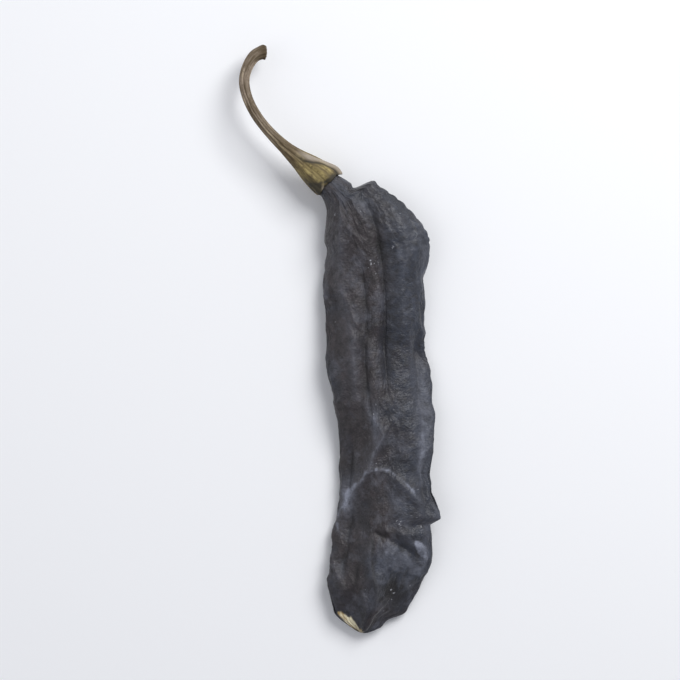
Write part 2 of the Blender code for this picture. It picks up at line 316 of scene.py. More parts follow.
@dataclass(frozen=True)
class Pleats:
    """Pleats that run out from the neck: how many go round, their height, and how far they reach."""

    count: int = 9
    size: float = 0.4
    reach: float = 13.0
    wander: float = 4.0
    bend: float = 0.5
    level: float = 0.6

    def rise(self, skin: Skin, around: Array, distance: Array) -> Array:
        """How far the pleats raise the skin in millimetres."""
        bend = self.bend * np.sin(distance / self.wander)
        pleat = np.abs(np.sin(np.pi * self.count * around + bend))
        return self.size * (pleat - self.level) * np.exp(-((distance / self.reach) ** 2))


@dataclass(frozen=True)
class NeckWrinkles:
    """Slanting wrinkles beyond the neck: their middle, reach and width, pitch and depth."""

    middle: float = 15.0
    reach: float = 6.0
    turn: float = 0.24
    wide: float = 0.05
    pitch: float = 1.7
    depth: float = 0.14
    slant: float = 9.0
    sway: Waves = Waves(8.0, 0.7, 31)

    def rise(self, skin: Skin, around: Array, distance: Array) -> Array:
        """How far the wrinkles raise the skin in millimetres, below 0."""
        away = short_way(around, self.turn) / self.wide
        phase = distance / self.pitch + self.sway.rise(skin, around, distance) + self.slant * away * self.wide
        wave = np.abs(np.sin(np.pi * phase))
        fade = np.exp(-(away**2) - ((distance - self.middle) / self.reach) ** 4)
        return -self.depth * (1 - wave) ** 1.5 * fade


@dataclass(frozen=True)
class Flap:
    """A pointed flap of the right edge: where it starts, comes to its point and ends, and its size."""

    start: float = 105.5
    point: float = 113.4
    end: float = 115.4
    size: float = 3.4

    def reach(self, distance: Array) -> Array:
        """How far the flap carries the edge out."""
        rising = (distance - self.start) / (self.point - self.start)
        falling = (self.end - distance) / (self.end - self.point)
        return self.size * np.clip(np.minimum(rising, falling), 0, 1)


@dataclass(frozen=True)
class Puckers:
    """Small puckers along the shoulder's edge: where they start and end, their pitch and their size."""

    start: float = 8.4
    end: float = 31.0
    pitch: float = 2.6
    size: float = 0.45
    fade: float = 3.0
    level: float = 0.6
    sway: Waves = Waves(6.0, 0.5, 71)

    def reach(self, skin: Skin, distance: Array) -> Array:
        """How far the puckers carry the edge out."""
        phase = distance / self.pitch + self.sway.rise(skin, np.zeros_like(distance), distance)
        window = np.clip(np.minimum(distance - self.start, self.end - distance) / self.fade, 0, 1)
        return self.size * window * (np.abs(np.sin(np.pi * phase)) - self.level)


@dataclass(frozen=True)
class Places:
    """Places of the skin: turns around the spine, distances beyond the rim, and points seen from above."""

    around: Array
    distance: Array
    seen: Array


@dataclass(frozen=True)
class Patch:
    """A soft-edged area of the skin: its middle, its reach along the pod and round it, and its strength."""

    distance: float
    turn: float
    along: float
    wide: float
    strength: float = 1.0

    def cover(self, skin: Skin, around: Array, distance: Array) -> Array:
        """How strongly the patch covers each place."""
        away = np.hypot((distance - self.distance) / self.along, skin.away(around, self.turn) / self.wide)
        return self.strength * np.exp(-(away**2))


class Dent(Patch):
    """A hollow of the skin, whose strength is its depth in millimetres."""

    def rise(self, skin: Skin, around: Array, distance: Array) -> Array:
        """The dent's rise in millimetres, which is below 0."""
        return -self.cover(skin, around, distance)


@dataclass(frozen=True)
class Strip:
    """A ragged strip of the skin seen from above: its points, each with half its width there.

    The edge is how crisp the strip's border is, in 1 over millimetres.
    """

    path: Triples
    edge: float
    strength: float = 1.0
    ragged: Waves = Waves(1.4, 0.5, 61)
    underside: float = -0.3

    def cover(self, skin: Skin, places: Places) -> Array:
        """Finds how strongly the strip covers each place.

        Args:
            skin: The skin that carries the strip.
            places: The places of the skin's points.

        Returns:
            The strength within the strip, falling to 0 beyond it and on the underside.
        """
        inside = np.full(len(places.around), -np.inf)
        for first, last in zip(np.array(self.path)[:-1], np.array(self.path)[1:]):
            step = last[:2] - first[:2]
            along = np.clip((places.seen - first[:2]) @ step / (step @ step), 0, 1)
            away = np.linalg.norm(places.seen - first[:2] - along[:, None] * step, axis=1)
            inside = np.maximum(inside, first[2] + along * (last[2] - first[2]) - away)
        ragged = self.ragged.rise(skin, places.around, places.distance)
        on_top = np.sin(2 * np.pi * places.around) > self.underside
        return self.strength * (np.clip((inside + ragged) * self.edge, 0, 1) * on_top)


def lofted(
    name: str, form: Form, segments: int, rings: int, crowding: float, lean: float = 0.0
) -> tuple[bpy.types.Object, Array, Array]:
    """Makes a closed piece from a form that is given turns and shares of its length.

    Args:
        name: The piece's name.
        form: Gives points in millimetres from turns and shares.
        segments: How many faces go round.
        rings: How many go along.
        crowding: How far the rings are drawn towards the two ends, from 0 to 1.
        lean: How many turns the faces are drawn towards the top at most.

    Returns:
        The object, and the turns and shares of its points.
    """
    line = np.linspace(0, 1, rings + 1)[1:-1]
    line = (1 - crowding) * line + crowding * (1 - np.cos(np.pi * line)) / 2
    even = np.arange(segments) / segments
    turns, shares = np.meshgrid(even + lean * np.cos(2 * np.pi * even), line)
    around = np.concatenate([[0.0], turns.ravel(), [0.0]])
    share = np.concatenate([[0.0], shares.ravel(), [1.0]])
    grid = 1 + np.arange(turns.size).reshape(turns.shape)
    beside = np.roll(grid, -1, axis=1)
    sides = np.stack([grid[:-1], beside[:-1], beside[1:], grid[1:]], axis=-1).reshape(-1, 4).tolist()
    first = [[0, b, a] for a, b in zip(grid[0].tolist(), beside[0].tolist())]
    last = [[len(around) - 1, a, b] for a, b in zip(grid[-1].tolist(), beside[-1].tolist())]
    mesh = bpy.data.meshes.new(name)
    mesh.from_pydata((form(around, share) * MM).tolist(), [], sides + first + last)
    mesh.update()
    mesh.shade_smooth()
    piece = bpy.data.objects.new(name, mesh)
    bpy.context.scene.collection.objects.link(piece)
    return piece, around, share


def mark(piece: bpy.types.Object, name: str, values: Array) -> None:
    """Stores a number or a vector for each point of a piece, for its node trees to read.

    Args:
        piece: The piece.
        name: The attribute's name.
        values: One number or one row of three for each point.
    """
    kind, key = ("FLOAT_VECTOR", "vector") if values.ndim > 1 else ("FLOAT", "value")
    attribute = piece.data.attributes.new(name, kind, "POINT")
    attribute.data.foreach_set(key, values.astype(np.float32).ravel())


def grown(
    piece: bpy.types.Object, tree: bpy.types.GeometryNodeTree, values: dict[str, Any]
) -> bpy.types.Object:
    """Runs a geometry node tree on a piece and keeps the result as its plain mesh.

    Args:
        piece: The piece that the tree reads.
        tree: The tree.
        values: A value for each of the tree's named inputs.

    Returns:
        The piece, with its new mesh and no modifier.
    """
    sockets = {s.name: s.identifier for s in tree.interface.items_tree if s.item_type == "SOCKET"}
    modifier = piece.modifiers.new(tree.name, "NODES")
    modifier.node_group = tree
    for name, value in values.items():
        modifier[sockets[name]] = value
    bpy.context.view_layer.update()
    result = bpy.data.meshes.new_from_object(piece.evaluated_get(bpy.context.evaluated_depsgraph_get()))
    piece.modifiers.clear()
    result.name = piece.name
    piece.data = result
    piece.data.shade_smooth()
    return piece


def add_node(
    tree: bpy.types.NodeTree, kind: str, inputs: dict[Any, Any] | None = None, **settings: Any
) -> Any:
    """Adds a node with its settings, input values and links.

    Args:
        tree: The node tree that it goes into.
        kind: Blender's name of the node's type.
        inputs: For each input, by name or number, a value, the socket that feeds it, or the node whose
            first output does.
        **settings: The node's own properties.

    Returns:
        The new node.
    """
    node = tree.nodes.new(kind)
    for name, value in settings.items():
        setattr(node, name, value)
    for name, value in (inputs or {}).items():
        if isinstance(value, bpy.types.Node):
            value = value.outputs[0]
        if isinstance(value, bpy.types.NodeSocket):
            tree.links.new(value, node.inputs[name])
        else:
            node.inputs[name].default_value = value
    return node


def new_tree(name: str, sizes: dict[str, float]) -> tuple[bpy.types.GeometryNodeTree, Any]:
    """Starts a geometry node tree with a mesh, its sizes, a seed and a material as inputs.

    Args:
        name: The tree's name.
        sizes: Its named number inputs and their usual values.

    Returns:
        The tree and its group input node.
    """
    tree = bpy.data.node_groups.new(name, "GeometryNodeTree")
    tree.interface.new_socket("Geometry", in_out="INPUT", socket_type="NodeSocketGeometry")
    for size, value in sizes.items():
        socket = tree.interface.new_socket(size, in_out="INPUT", socket_type="NodeSocketFloat")
        socket.default_value = value
    tree.interface.new_socket("Seed", in_out="INPUT", socket_type="NodeSocketFloat")
    tree.interface.new_socket("Material", in_out="INPUT", socket_type="NodeSocketMaterial")
    tree.interface.new_socket("Geometry", in_out="OUTPUT", socket_type="NodeSocketGeometry")
    return tree, tree.nodes.new("NodeGroupInput")


def raised(tree: bpy.types.GeometryNodeTree, geometry: Any, height: Any, chosen: Any = True) -> Any:
    """Moves a geometry's points out along their normals.

    Args:
        tree: The tree.
        geometry: The socket of the geometry.
        height: The socket or node of each point's height in metres.
        chosen: Which points move, as a value, a socket or a node.

    Returns:
        The node with the moved geometry.
    """
    normal = add_node(tree, "GeometryNodeInputNormal")
    offset = add_node(tree, "ShaderNodeVectorMath", {0: normal, "Scale": height}, operation="SCALE")
    inputs = {"Geometry": geometry, "Selection": chosen, "Offset": offset}
    return add_node(tree, "GeometryNodeSetPosition", inputs)


def end_tree(tree: bpy.types.GeometryNodeTree, start: Any, geometry: Any) -> None:
    """Ends a tree: its instances are made real and its material is set.

    Args:
        tree: The tree.
        start: Its group input node.
        geometry: The node that holds what the tree has made.
    """
    real = add_node(tree, "GeometryNodeRealizeInstances", {"Geometry": geometry})
    inputs = {"Geometry": real, "Material": start.outputs["Material"]}
    dressed = add_node(tree, "GeometryNodeSetMaterial", inputs)
    add_node(tree, "NodeGroupOutput", {"Geometry": dressed})


def new_material(name: str) -> tuple[bpy.types.Material, bpy.types.NodeTree, Any]:
    """Starts a material.

    Args:
        name: Its name.

    Returns:
        The material, its node tree and its surface shader.
    """
    material = bpy.data.materials.new(name)
    material.use_nodes = True
    return material, material.node_tree, material.node_tree.nodes["Principled BSDF"]


def layered(tree: bpy.types.NodeTree, ground: Any, layers: Iterable[tuple[Any, Any]]) -> bpy.types.NodeSocket:
    """Lays colours over a ground, each by its own share.

    Args:
        tree: The material's node tree.
        ground: The lowest colour, or the socket or node that gives it.
        layers: From the lowest up, how much of each layer shows, from 0 to 1, and its colour.

    Returns:
        The socket of the colour that is seen.
    """
    colour = ground
    for share, over in layers:
        colour = add_node(tree, "ShaderNodeMix", {0: share, 6: colour, 7: over}, data_type="RGBA").outputs[2]
    return colour


@dataclass(frozen=True)
class PodSkin:
    """Dried chile skin: a thin tough cuticle, near black with a brown cast, air dried until it creased.

    The eye sees a soft satin sheen on the ridges, dull furrows, and a faint blue-grey bloom of wax and dust.
    The colour also carries painted shade in the furrows, painted highlights on the crests, a painted
    blue-grey sheen and painted glints.
    """

    dark_mottle_and_shade: str = "#171517"
    brown: str = "#352f32"
    blue: str = "#2a2f3b"
    bloom_and_highlight: str = "#888c9a"
    glint_and_dust_fleck: str = "#8f9096"
    torn: str = "#cdc5a9"
    scorched: str = "#8d7446"
    cast_size: float = 14.0
    mottle_size: float = 1.6
    smear_size: float = 9.0
    rub_size: float = 2.4
    fleck_cell_size: float = 1.3
    tear_size: float = 0.65
    tear_reach: tuple[float, float, float] = (1.2 * MM, 1.8 * MM, 1.2 * MM)
    glint_area_share: float = 0.42
    plain_share: float = 0.992
    flesh_size: float = 3.3
    cell_size: float = 0.7
    grain_size: float = 0.4
    grain_depth: float = 0.22
    grain: float = 0.7
    roughness: float = 0.38
    index: float = 1.48
    sheen: float = 0.10
    name: str = "dried_pod_skin"

    def make(self) -> bpy.types.Material:
        """Builds the material.

        Returns:
            The material, which reads the skin_place attribute and those of the painted shade, the painted
            blue-grey sheen, the warm areas, the bloom with painted highlights, the torn edge, and the painted
            glints and dust.
        """
        material, tree, shader = new_material(self.name)
        add = partial(add_node, tree)
        place = add("ShaderNodeAttribute", attribute_name="skin_place").outputs["Vector"]
        painted_sunk_shade, painted_cool_sheen, warm, bloom_and_highlight_share, torn, glint_and_dust = (
            add("ShaderNodeAttribute", attribute_name=name).outputs["Fac"]
            for name in ("painted_sunk_shade", "painted_cool_sheen", "warm", "bloom_and_highlight_share", "torn", "glint_and_dust")
        )

        # Brown and blue-grey areas: partly random tone, partly a painted blue-grey sheen where the skin faces
        # the light
        inputs = {"Vector": place, "Scale": scale_of(self.cast_size), "Detail": 5.0, "Roughness": 0.62}
        areas = add("ShaderNodeTexNoise", inputs)
        cooler = add("ShaderNodeMath", {0: painted_cool_sheen, 1: 0.22, 2: areas}, operation="MULTIPLY_ADD")
        lean = add("ShaderNodeMath", {0: warm, 1: -0.20, 2: cooler}, operation="MULTIPLY_ADD")
        cast = add("ShaderNodeMapRange", {"Value": lean, 1: 0.40, 2: 0.66})

        # Fine mottling, and painted shade in the sunken panels, furrows and hollows
        inputs = {"Vector": place, "Scale": scale_of(self.mottle_size), "Detail": 5.0, "Roughness": 0.65}
        mottle = add("ShaderNodeTexNoise", inputs)
        deep = add("ShaderNodeMapRange", {"Value": mottle, 1: 0.36, 2: 0.66, 3: 0.0, 4: 0.8})
        mottle_and_shade = add("ShaderNodeMath", {0: deep, 1: painted_sunk_shade}, operation="MAXIMUM")

        # Bloom in smears, and pale crests that are bloom with painted highlights, rubbed off in small places
        inputs = {"Vector": place, "Scale": scale_of(self.smear_size), "Detail": 7.0, "Roughness": 0.72}
        smear = add("ShaderNodeTexNoise", inputs)
        patch = add("ShaderNodeMapRange", {"Value": smear, 1: 0.50, 2: 0.80, 3: 0.0, 4: 0.38})
        inputs = {"Vector": place, "Scale": scale_of(self.rub_size), "Detail": 5.0, "Roughness": 0.7}
        broken = add("ShaderNodeTexNoise", inputs)
        rubbed = add("ShaderNodeMapRange", {"Value": broken, 1: 0.34, 2: 0.62, 3: 0.25, 4: 1.0})
        crests = add("ShaderNodeMath", {0: bloom_and_highlight_share, 1: rubbed}, operation="MULTIPLY")
        bloom_and_highlight = add("ShaderNodeMath", {0: patch, 1: crests}, operation="MAXIMUM")

        # Sparse pale flecks up to 0.8 mm across, ragged and uneven: painted glints and specks of dust, more
        # in listed areas
        inputs = {"Vector": place, "Scale": scale_of(self.tear_size), "Detail": 2.0}
        tear = add("ShaderNodeTexNoise", inputs).outputs["Color"]
        inputs = {0: tear, 1: self.tear_reach, 2: place}
        jagged = add("ShaderNodeVectorMath", inputs, operation="MULTIPLY_ADD")
        inputs = {"Vector": jagged, "Scale": scale_of(self.fleck_cell_size), "Randomness": 1.0}
        fleck_cells = add("ShaderNodeTexVoronoi", inputs)
        draws = add("ShaderNodeSeparateColor", {0: fleck_cells.outputs["Color"]}).outputs
        inputs = {0: glint_and_dust, 1: self.glint_area_share, 2: draws[0]}
        likely = add("ShaderNodeMath", inputs, operation="MULTIPLY_ADD")
        chosen = add("ShaderNodeMath", {0: likely, 1: self.plain_share}, operation="GREATER_THAN")
        shrunk = add("ShaderNodeMath", {0: draws[1], 1: 0.12, 2: fleck_cells}, operation="MULTIPLY_ADD")
        spot = add("ShaderNodeMapRange", {"Value": shrunk, 1: 0.20, 2: 0.34, 3: 1.0, 4: 0.0})
        glint_and_dust_fleck = add("ShaderNodeMath", {0: chosen, 1: spot}, operation="MULTIPLY")

        # The torn edge's straw-coloured inner flesh, golden brown in places
        inputs = {"Vector": place, "Scale": scale_of(self.flesh_size), "Detail": 3.0}
        tone = add("ShaderNodeTexNoise", inputs)
        golden = add("ShaderNodeMapRange", {"Value": tone, 1: 0.42, 2: 0.58})
        flesh = layered(tree, linear(self.torn), [(golden, linear(self.scorched))])
        layers = (
            (cast, linear(self.blue)), (mottle_and_shade, linear(self.dark_mottle_and_shade)), (bloom_and_highlight, linear(self.bloom_and_highlight)),
            (glint_and_dust_fleck, linear(self.glint_and_dust_fleck)), (torn, flesh),
        )
        tree.links.new(layered(tree, linear(self.brown), layers), shader.inputs["Base Color"])

        # Duller on the bloom, in the furrows and on the brown areas
        matt = self.roughness
        for share, more in ((bloom_and_highlight, 0.30), (mottle_and_shade, 0.22), (warm, 0.12)):
            matt = add("ShaderNodeMath", {0: share, 1: more, 2: matt}, operation="MULTIPLY_ADD")
        tree.links.new(matt.outputs[0], shader.inputs["Roughness"])
        shader.inputs["IOR"].default_value = self.index
        shader.inputs["Sheen Weight"].default_value = self.sheen
        shader.inputs["Sheen Roughness"].default_value = 0.5

        # Leather-like grain, whose real cells of about 0.3 mm are drawn coarser so that they show
        inputs = {"Vector": place, "Scale": scale_of(self.cell_size)}
        cells = add("ShaderNodeTexVoronoi", inputs, feature="SMOOTH_F1")
        inputs = {"Vector": place, "Scale": scale_of(self.grain_size), "Detail": 4.0}
        fine = add("ShaderNodeTexNoise", inputs)
        relief = add("ShaderNodeMath", {0: fine, 1: cells}, operation="ADD")
        inputs = {"Height": relief, "Strength": self.grain, "Distance": self.grain_depth * MM}
        bump = add("ShaderNodeBump", inputs)
        tree.links.new(bump.outputs[0], shader.inputs["Normal"])
        return material


@dataclass(frozen=True)
class DryStem:
    """Dried plant stalk: woody fibres along it, tan on the stem, and ochre with brown veins on the calyx.

    The eye sees matt straw with brown streaks, a darker cut end, and a paler, leathery fold along the calyx.
    The colour also carries painted shade in the rib grooves, beside the fold and on one side of the calyx,
    and a painted highlight on the fold.
    """

    tan: str = "#9a8b7c"
    low_tan: str = "#8a7c69"
    umber: str = "#8a795a"
    ochre: str = "#9e8e5b"
    straw: str = "#b9ab80"
    streak: str = "#4d3f27"
    olive: str = "#2f2b21"
    # The fold's paler colour, which also stands for a painted highlight
    fold: str = "#a2978a"
    end: str = "#4a3b2e"
    pith: str = "#a09680"
    shift_size: float = 6.25
    fibre_size: float = 0.9
    fibre_draw: tuple[float, float, float] = (1.0, 1.0, 0.09)
    blotch_size: float = 2.4
    blotch_draw: tuple[float, float, float] = (1.0, 1.0, 0.3)
    spot_size: float = 1.1
    grain_depth: float = 0.12
    grain: float = 0.6
    roughness: float = 0.72
    index: float = 1.45
    name: str = "dried_stalk_fibre"

    def make(self) -> bpy.types.Material:
        """Builds the material.

        Returns:
            The material, which reads the stem_place, down_stem and cut attributes, and those of the pale fold
            with its painted highlight, the calyx's painted shade and the painted shade in the grooves.
        """
        material, tree, shader = new_material(self.name)
        add = partial(add_node, tree)
        place = add("ShaderNodeAttribute", attribute_name="stem_place").outputs["Vector"]
        down, pale_fold_and_highlight, painted_calyx_shade, groove, cut = (
            add("ShaderNodeAttribute", attribute_name=name).outputs["Fac"]
            for name in ("down_stem", "pale_fold_and_highlight", "painted_calyx_shade", "groove", "cut")
        )

        # Colour along the stalk, from the dark end over tan and umber to the ochre calyx
        blur = add("ShaderNodeTexNoise", {"Vector": place, "Scale": scale_of(self.shift_size), "Detail": 4.0})
        shift = add("ShaderNodeMath", {0: blur, 1: 0.16, 2: -0.08}, operation="MULTIPLY_ADD")
        spot = add("ShaderNodeMath", {0: down, 1: shift}, operation="ADD")
        ramp = add("ShaderNodeValToRGB", {0: spot})
        stops = ramp.color_ramp.elements
        for where, colour in (
            (0.06, self.tan), (0.40, self.tan), (0.60, self.low_tan), (0.76, self.umber), (0.86, self.ochre),
        ):
            stops.new(where).color = linear(colour)
        stops[0].color = linear(self.end)
        stops[-1].color = linear(self.ochre)

        # Fibre streaks some 10 mm long, drawn wider than single fibres so that they show, and paler threads
        thread = add("ShaderNodeVectorMath", {0: place, 1: self.fibre_draw}, operation="MULTIPLY")
        inputs = {"Vector": thread, "Scale": scale_of(self.fibre_size), "Detail": 5.0, "Roughness": 0.6}
        fibres = add("ShaderNodeTexNoise", inputs)
        streak = add("ShaderNodeMapRange", {"Value": fibres, 1: 0.44, 2: 0.64, 3: 0.0, 4: 0.85})
        threads = add("ShaderNodeMapRange", {"Value": fibres, 1: 0.46, 2: 0.28, 3: 0.0, 4: 0.5})

        # Brown blotches drawn out along the stalk, and small brown spots
        drawn = add("ShaderNodeVectorMath", {0: place, 1: self.blotch_draw}, operation="MULTIPLY")
        inputs = {"Vector": drawn, "Scale": scale_of(self.blotch_size), "Detail": 5.0, "Roughness": 0.65}
        blotch = add("ShaderNodeTexNoise", inputs)
        blotched = add("ShaderNodeMapRange", {"Value": blotch, 1: 0.42, 2: 0.58, 3: 0.0, 4: 0.8})
        inputs = {"Vector": place, "Scale": scale_of(self.spot_size), "Detail": 4.0, "Roughness": 0.7}
        spots = add("ShaderNodeTexNoise", inputs)
        spotted = add("ShaderNodeMapRange", {"Value": spots, 1: 0.48, 2: 0.66, 3: 0.0, 4: 0.75})
        brown = add("ShaderNodeMath", {0: streak, 1: spotted}, operation="MAXIMUM")
        # Brown streaks and spots, and painted shade in the rib grooves
        deep = add("ShaderNodeMath", {0: brown, 1: groove}, operation="MAXIMUM")

        # Pale threads and brown streaks; painted shade in the grooves and on the calyx, and a painted
        # highlight on the fold
        layers = (
            (threads, self.straw), (blotched, self.streak), (deep, self.streak), (pale_fold_and_highlight, self.fold),
            (painted_calyx_shade, self.olive), (cut, self.pith),
        )
        colour = layered(tree, ramp, ((share, linear(over)) for share, over in layers))
        tree.links.new(colour, shader.inputs["Base Color"])
        shader.inputs["Roughness"].default_value = self.roughness
        shader.inputs["IOR"].default_value = self.index
        inputs = {"Height": fibres, "Strength": self.grain, "Distance": self.grain_depth * MM}
        bump = add("ShaderNodeBump", inputs)
        tree.links.new(bump.outputs[0], shader.inputs["Normal"])
        return material


@dataclass(frozen=True)
class PaleTable:
    """Painted board under the pepper: a matt, even, cool white."""

    colour: str = "#f3f4f6"
    roughness: float = 0.9
    name: str = "matt_white_paint"

    def make(self) -> bpy.types.Material:
        """Builds the plain material."""
        material, _, shader = new_material(self.name)
        shader.inputs["Base Color"].default_value = linear(self.colour)
        shader.inputs["Roughness"].default_value = self.roughness
        return material


@dataclass(frozen=True)
class Net:
    """A net of fine wrinkles: the width and length of its cells, its depth, and its seed."""

    wide: float
    long: float
    depth: float
    seed: float


@dataclass
class Pod:
    """The flattened pod: its outline, thickness, folds and wrinkles.

    Each row of reach has a distance beyond the rim, the pod's reach to its right, left, top and underside
    there, and its twist in degrees.
    """

    spine: Spine
    skin: Skin = field(default_factory=Skin)
    reach: tuple[tuple[float, ...], ...] = (
        (0.0, 4.2, 4.2, 3.7, 3.7, 0), (2.5, 4.5, 4.6, 4.1, 3.8, 0), (5.5, 5.4, 6.0, 4.9, 4.0, 2),
        (7.6, 6.8, 7.1, 5.5, 4.2, 3), (8.4, 11.0, 7.7, 5.9, 4.2, 4), (10.4, 12.6, 8.9, 6.2, 4.3, 6),
        (13.4, 14.4, 10.7, 6.5, 4.4, 8), (16.8, 16.5, 12.4, 6.9, 4.5, 9), (20.4, 18.3, 13.9, 7.2, 4.6, 9),
        (24.2, 19.8, 15.2, 7.4, 4.6, 8), (27.6, 19.9, 16.1, 7.4, 4.6, 6), (31.0, 18.5, 16.7, 7.2, 4.5, 4),
        (35.9, 16.0, 17.1, 6.9, 4.5, 2), (40.0, 16.3, 17.2, 6.7, 4.5, 0), (47.0, 17.6, 17.2, 6.5, 4.4, -3),
        (58.7, 17.6, 16.2, 6.3, 4.3, -7), (68.2, 18.5, 15.3, 6.5, 4.3, -7), (76.5, 18.0, 14.6, 6.7, 4.3, -4),
        (85.0, 18.2, 14.2, 6.7, 4.2, 0), (92.5, 17.7, 13.8, 6.5, 4.2, 4), (100.5, 16.6, 14.0, 6.2, 4.2, 7),
        (107.0, 17.2, 14.4, 6.0, 4.1, 8), (115.0, 17.2, 15.6, 5.8, 4.0, 7), (121.3, 17.6, 16.2, 5.8, 3.9, 4),
        (127.6, 17.2, 16.2, 5.6, 3.8, 0), (135.2, 15.2, 15.6, 5.0, 3.6, -4),
        (140.5, 13.2, 15.0, 4.4, 3.4, -6), (143.6, 12.4, 14.0, 4.0, 3.2, -7),
        (146.2, 8.8, 12.8, 3.6, 3.1, -7), (149.4, 7.2, 10.8, 3.2, 2.9, -6), (153.0, 5.2, 4.6, 2.8, 2.7, -5),
    )
    creases: tuple[Crease, ...] = (
        Crease(((4, 0.300), (21, 0.372), (38, 0.385), (60, 0.360), (78, 0.385)), 2.4, 1.5, 0.25),
        Crease(
            ((5, 0.060), (8.2, 0.111), (11, 0.134), (16, 0.157), (25, 0.190), (38, 0.187), (76, 0.210)),
            1.6, -1.8,
        ),
        Crease(((14, 0.075), (26, 0.100), (40, 0.125), (58, 0.120)), 2.6, 1.3, 0.15),
        Crease(((28, 0.300), (46, 0.292), (70, 0.318), (88, 0.300)), 2.2, -1.9),
        Crease(
            ((66, 0.285), (80, 0.316), (87, 0.239), (93, 0.295), (98.6, 0.317), (106, 0.396), (116, 0.443)),
            2.0, 1.7, 0.3,
        ),
        Crease(((52, 0.062), (74, 0.082), (98, 0.070), (118, 0.088)), 2.4, -2.0),
        Crease(((97, 0.329), (99, 0.232), (102, 0.165), (107, 0.109), (116, 0.089)), 1.8, 1.4, 0.3),
        Crease(((84, 0.400), (100, 0.420), (122, 0.402), (140, 0.420)), 2.4, -1.9),
        Crease(((116, 0.329), (119, 0.271), (121, 0.187), (125, 0.098), (129.5, 0.000)), 1.9, -1.7),
        Crease(((116.5, 0.250), (118.5, 0.158), (121.2, 0.106), (127.6, 0.022)), 1.6, 1.0, 0.5),
        Crease(((117, 0.271), (125, 0.295), (132, 0.278), (138, 0.225), (147, 0.232)), 2.2, 1.5, 0.2),
        Crease(((124, 0.360), (134, 0.345), (147, 0.370)), 2.0, -1.3),
        Crease(((10, 0.640), (40, 0.660), (74, 0.630), (104, 0.660)), 2.8, -2.0),
        Crease(((34, 0.830), (64, 0.860), (96, 0.835), (128, 0.860)), 2.8, -2.0),
        Crease(((90, 0.750), (116, 0.735), (142, 0.765)), 2.4, -1.6),
    )
    dents: tuple[Dent, ...] = (
        Dent(137.0, 0.130, 6.0, 5.0, 2.2), Dent(58.0, 0.180, 16.0, 5.5, 1.5),
        Dent(46.0, 0.430, 13.0, 4.5, 1.3), Dent(92.0, 0.190, 12.0, 5.0, 1.3),
        Dent(74.0, 0.365, 14.0, 4.5, 1.4), Dent(112.0, 0.350, 10.0, 4.5, 1.1),
        Dent(24.0, 0.060, 8.0, 4.0, 1.0), Dent(30.0, 0.560, 15.0, 6.0, 1.4),
        Dent(88.0, 0.940, 16.0, 5.0, 1.3),
    )
    wide_panels: Panels = Panels(9.5, 21.0, 1.8, 5)
    small_panels: Panels = Panels(4.6, 9.0, 0.7, 8)
    fine_panels: Panels = Panels(2.4, 4.6, 0.22, 12)
    swell: Waves = Waves(15.0, 0.9, 21)
    pleats: Pleats = Pleats()
    neck_wrinkles: NeckWrinkles = NeckWrinkles()
    right_waves: tuple[Waves, ...] = (Waves(13.0, 0.7, 3), Waves(5.5, 0.5, 4))
    left_waves: tuple[Waves, ...] = (Waves(13.0, 0.7, 53), Waves(5.5, 0.5, 54))
    puckers: Puckers = Puckers()
    flap: Flap = Flap()
    # Patches where the skin is painted with a blue-grey sheen
    painted_sheen_areas: tuple[Patch, ...] = (
        Patch(28.0, 0.070, 24.0, 11.0), Patch(70.0, 0.050, 30.0, 8.0), Patch(130.0, 0.120, 9.0, 8.0, 1.5),
        Patch(98.0, 0.070, 18.0, 9.0), Patch(145.0, 0.300, 8.0, 9.0, 0.6),
        Patch(60.0, 0.700, 60.0, 16.0, 0.5),
    )
    warm_areas: tuple[Patch, ...] = (
        Patch(24.0, 0.280, 26.0, 8.0), Patch(70.0, 0.360, 30.0, 7.0, 0.8), Patch(110.0, 0.250, 9.0, 5.0, 0.9),
        Patch(134.0, 0.350, 12.0, 8.0, 0.5),
    )
    # Areas with more painted glints and specks of dust
    glint_and_dust_areas: tuple[Patch, ...] = (
        Patch(114.5, 0.120, 3.5, 4.5, 1.2), Patch(32.0, 0.240, 3.0, 2.5), Patch(13.5, 0.200, 2.0, 2.5),
        Patch(137.0, 0.135, 2.0, 2.0),
    )
    # Areas of pale bloom with painted highlights on ridges and tabs
    bloom_and_highlight_areas: tuple[Patch, ...] = (
        Patch(109.0, 0.430, 5.0, 2.8, 0.9), Patch(84.0, 0.285, 6.0, 1.8, 0.5),
        Patch(124.5, 0.060, 3.5, 1.5, 0.6), Patch(93.0, 0.076, 9.0, 1.1, 0.6),
        Patch(32.0, 0.020, 8.0, 3.0, 0.35), Patch(82.0, 0.065, 20.0, 3.2, 0.45),
    )
    bloom_and_highlight_strips: tuple[Strip, ...] = (
        Strip(
            (
                (11.5, -42.5, 0.4), (14.0, -42.3, 0.5), (16.5, -43.0, 0.5), (19.3, -44.9, 0.5),
                (21.8, -47.0, 0.5), (23.6, -49.2, 0.5), (24.7, -50.9, 0.3),
            ), 1.0, 1.5,
        ),
        Strip(
            (
                (10.6, -42.5, 0.4), (8.3, -43.1, 0.5), (7.4, -45.6, 0.5), (4.7, -47.4, 0.9),
                (3.1, -49.9, 1.2), (2.2, -53.1, 0.9), (0.2, -55.6, 0.6), (-1.3, -59.5, 0.7),
                (-0.3, -63.4, 0.4),
            ), 0.9, 0.9,
        ),
        Strip(((24.9, -66.4, 0.8), (27.0, -68.8, 1.6), (28.6, -72.0, 0.7)), 2.5),
        Strip(((12.8, -65.0, 1.0), (13.8, -70.0, 2.4), (14.2, -78.0, 2.4)), 1.2, 0.22),
        Strip(((15.0, -66.8, 1.4), (19.5, -72.2, 3.8), (26.0, -76.4, 1.8)), 1.2, 0.30),
    )
